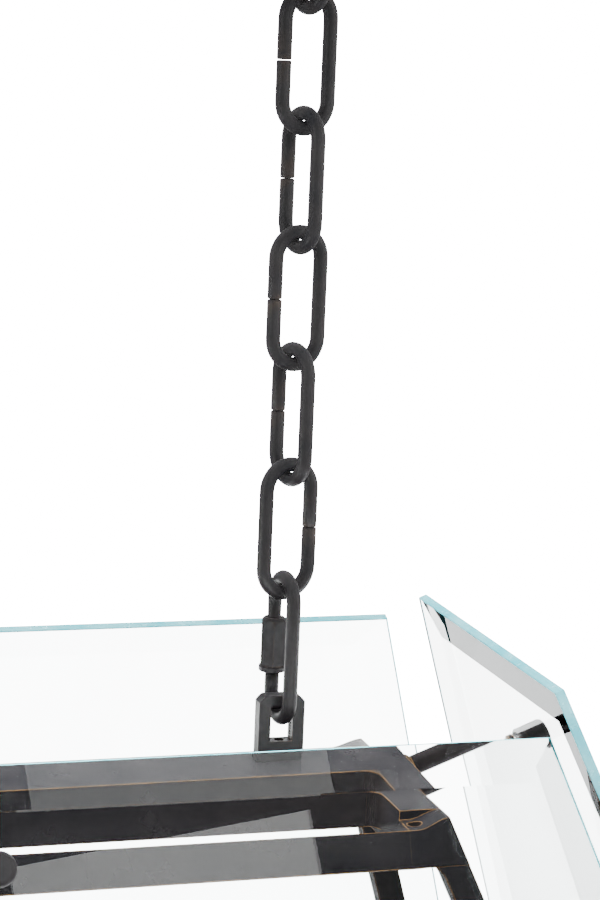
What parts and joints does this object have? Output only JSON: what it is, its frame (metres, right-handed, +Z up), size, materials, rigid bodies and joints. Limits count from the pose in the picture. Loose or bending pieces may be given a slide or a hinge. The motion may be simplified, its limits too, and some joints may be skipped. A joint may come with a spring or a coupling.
{
  "type": "hanging lantern",
  "caption": "Long tapered lantern with open-cornered bevelled glass sides on a dark bronze frame, hung level on paired chains from a ceiling canopy.",
  "frame": {"origin": "on the ceiling, at the middle of the canopy strap's top face, above the middle of the lantern", "axes": "+Z up, +X along the lantern's long side to the right, +Y to the back"},
  "size_m": [0.6386, 0.4122, 0.5814],
  "materials": {
    "blackened_steel": "satin black patina",
    "bronze_frame": "dark bronze with golden brown worn edges",
    "strap_steel": "zinc plated",
    "clear_glass": "clear, bevelled, polished teal edges",
    "candle_cream": "matte cream",
    "socket_plastic": "matte black",
    "bulb_glass": "clear with a pale warm tint"
  },
  "bodies": {
    "canopy": {"canopy_cover": "blackened_steel", "canopy_loop_left": "blackened_steel", "canopy_loop_right": "blackened_steel", "canopy_strap": "strap_steel"},
    "top_links": {"left_link_5": "blackened_steel", "right_link_5": "blackened_steel"},
    "chain_right": {"right_link_1": "blackened_steel", "right_link_2": "blackened_steel", "right_link_3": "blackened_steel", "right_link_4": "blackened_steel", "quick_link_right": "blackened_steel"},
    "chain_left": {"left_link_1": "blackened_steel", "left_link_2": "blackened_steel", "left_link_3": "blackened_steel", "left_link_4": "blackened_steel", "quick_link_left": "blackened_steel"},
    "sleeve_right": {"quick_link_sleeve_right": "blackened_steel"},
    "sleeve_left": {"quick_link_sleeve_left": "blackened_steel"},
    "lantern": {"bulb_1": "bulb_glass", "bulb_2": "bulb_glass", "bulb_3": "bulb_glass", "bulb_4": "bulb_glass", "candle_sleeve_1": "candle_cream", "candle_sleeve_2": "candle_cream", "candle_sleeve_3": "candle_cream", "candle_sleeve_4": "candle_cream", "frame_bottom_ring": "bronze_frame", "frame_top_ring": "bronze_frame", "glass_back": "clear_glass", "glass_front": "clear_glass", "glass_left": "clear_glass", "glass_right": "clear_glass", "knob_bottom_back": "blackened_steel", "knob_bottom_front": "blackened_steel", "knob_bottom_left": "blackened_steel", "knob_bottom_right": "blackened_steel", "knob_top_back": "blackened_steel", "knob_top_front": "blackened_steel", "knob_top_left": "blackened_steel", "knob_top_right": "blackened_steel", "lamp_arm": "bronze_frame", "lamp_socket_1": "socket_plastic", "lamp_socket_2": "socket_plastic", "lamp_socket_3": "socket_plastic", "lamp_socket_4": "socket_plastic", "lamp_stem": "bronze_frame", "post_back_left": "bronze_frame", "post_back_right": "bronze_frame", "post_front_left": "bronze_frame", "post_front_right": "bronze_frame", "standoff_bottom_back": "bronze_frame", "standoff_bottom_front": "bronze_frame", "standoff_bottom_left": "bronze_frame", "standoff_bottom_right": "bronze_frame", "standoff_top_back": "bronze_frame", "standoff_top_front": "bronze_frame", "standoff_top_left": "bronze_frame", "standoff_top_right": "bronze_frame", "stirrup_left": "blackened_steel", "stirrup_right": "blackened_steel"}
  },
  "joints": [
    {"name": "swing_front_back", "type": "hinge", "parent": "canopy", "child": "top_links", "pos_m": [0, 0, -0.047], "axis": [1, 0, 0], "range_deg": [-12, 12]},
    {"name": "swing_sideways", "type": "hinge", "parent": "top_links", "child": "chain_right", "pos_m": [0.118, 0, -0.087], "axis": [0, 1, 0], "range_deg": [-12, 12]},
    {"name": "chain_left_swing", "type": "hinge", "parent": "top_links", "child": "chain_left", "pos_m": [-0.118, 0, -0.087], "axis": [0, 1, 0], "range_deg": [-12, 12]},
    {"name": "lantern_level", "type": "hinge", "parent": "chain_right", "child": "lantern", "pos_m": [0.118, 0, -0.29165], "axis": [0, 1, 0], "range_deg": [-12, 12]},
    {"name": "sleeve_right_slide", "type": "slide", "parent": "chain_right", "child": "sleeve_right", "axis": [0, 0, 1], "range_m": [0, 0.007]},
    {"name": "sleeve_left_slide", "type": "slide", "parent": "chain_left", "child": "sleeve_left", "axis": [0, 0, 1], "range_m": [0, 0.007]}
  ],
  "couplings": [
    {"joint": "chain_left_swing", "follows": "swing_sideways", "ratio": 1},
    {"joint": "lantern_level", "follows": "swing_sideways", "ratio": -1}
  ]
}
